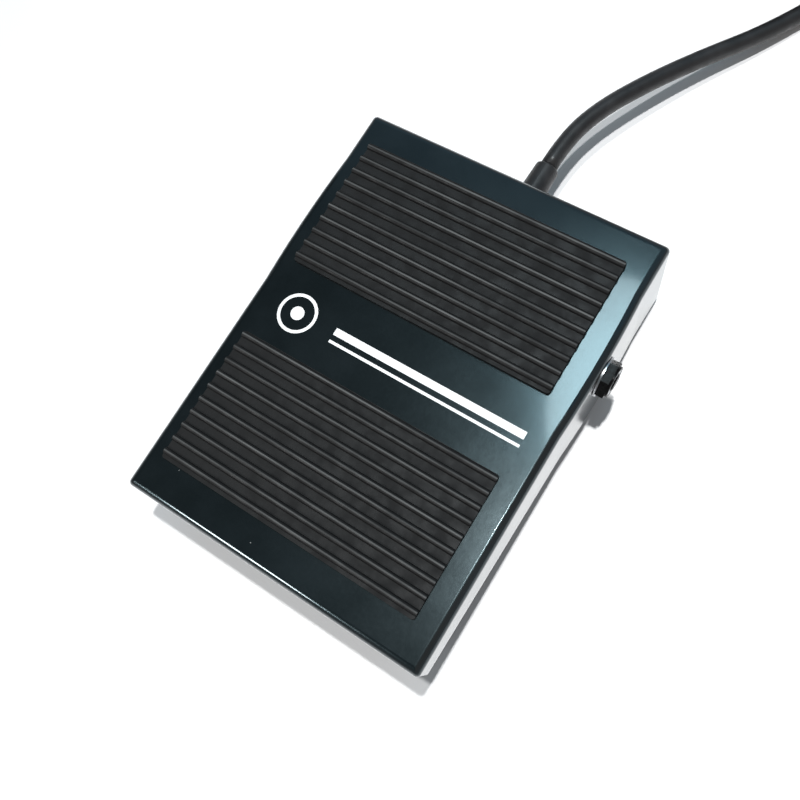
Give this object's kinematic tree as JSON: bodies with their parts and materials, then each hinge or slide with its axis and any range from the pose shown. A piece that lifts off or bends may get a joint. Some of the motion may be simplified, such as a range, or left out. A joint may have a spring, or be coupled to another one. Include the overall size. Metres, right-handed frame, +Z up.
{
  "type": "sustain pedal",
  "caption": "Compact sustain pedal: a ribbed steel tread rocks on a folded base over a return spring and snap switch, with a coiled lead and a phone plug.",
  "frame": {"origin": "on the floor under the middle of the tread, the lead and its strain relief left out", "axes": "+X right as seen from the player, +Y to the rear where the lead leaves, +Z up"},
  "size_m": [0.0888, 0.2856, 0.027],
  "materials": {
    "black_gloss_paint": "gloss black paint on folded steel",
    "pan_paint": "semi-gloss black paint on folded steel",
    "black_rubber": "matt ribbed rubber",
    "soft_rubber": "matt rubber",
    "zinc_steel": "bright zinc plate",
    "black_steel": "black oxide",
    "spring_steel": "drawn wire",
    "white_nylon": "satin nylon",
    "switch_black": "moulded phenolic",
    "button_red": "moulded",
    "contact_brass": "tinned brass",
    "pvc_black": "satin flexible PVC",
    "wire_red": "insulated wire",
    "wire_bare": "twisted copper screen",
    "tie_fabric": "hook-and-loop strap",
    "plug_body": "moulded grip",
    "nickel": "nickel plate",
    "plug_black": "insulating ring"
  },
  "bodies": {
    "base": {"base_pan": "pan_paint", "rubber_feet": "soft_rubber", "foot_screws": "zinc_steel", "rest_bumpers": "soft_rubber", "stop_bumpers": "soft_rubber", "pivot_bolt_left": "black_steel", "pivot_bolt_right": "black_steel", "pivot_bush_left": "zinc_steel", "pivot_bush_right": "zinc_steel", "pivot_washer_left": "zinc_steel", "pivot_washer_right": "zinc_steel", "lock_nut_left": "black_steel", "lock_nut_right": "black_steel", "nut_insert_left": "white_nylon", "nut_insert_right": "white_nylon", "return_spring": "spring_steel", "spring_seat": "white_nylon", "spring_seat_screw": "zinc_steel", "switch_case": "switch_black", "switch_lid": "switch_black", "switch_terminals": "contact_brass", "contact_blade": "contact_brass", "lever_pin": "zinc_steel", "switch_bracket": "zinc_steel", "switch_screws": "zinc_steel", "switch_nuts": "zinc_steel", "bracket_screws": "zinc_steel", "strain_relief": "pvc_black", "cord_inner": "pvc_black", "cord_clamp": "zinc_steel", "clamp_screws": "zinc_steel", "signal_wire": "wire_red", "shield_wire": "wire_bare", "cord_tube": "pvc_black", "cord_tail": "pvc_black", "cord_coil": "pvc_black", "coil_tie": "tie_fabric", "plug_boot": "pvc_black", "plug_handle": "plug_body", "plug_sleeve": "nickel", "plug_insulator": "plug_black", "plug_tip": "nickel"},
    "tread": {"tread_cover": "black_gloss_paint", "front_pad": "black_rubber", "rear_pad": "black_rubber", "actuator_tab": "zinc_steel", "spring_locator": "zinc_steel"},
    "lever": {"switch_lever": "spring_steel"},
    "plunger": {"switch_plunger": "button_red"}
  },
  "joints": [
    {"name": "tread_hinge", "type": "hinge", "parent": "base", "child": "tread", "pos_m": [0, 0.0195, 0.0195], "axis": [1, 0, 0], "range_deg": [0, 3.6], "stiffness_Nm_per_rad": 1.2, "springref_deg": -20.05, "deforming": ["return_spring"]},
    {"name": "lever_hinge", "type": "hinge", "parent": "base", "child": "lever", "pos_m": [-0.01, 0.0068, 0.0194], "axis": [1, 0, 0], "range_deg": [0, 7]},
    {"name": "plunger_slide", "type": "slide", "parent": "base", "child": "plunger", "axis": [0, 0, -1], "range_m": [0, 0.0006]}
  ],
  "couplings": [
    {"joint": "lever_hinge", "follows": "tread_hinge", "ratio": 1.8581},
    {"joint": "plunger_slide", "follows": "tread_hinge", "m_per_rad": 0.008361}
  ]
}
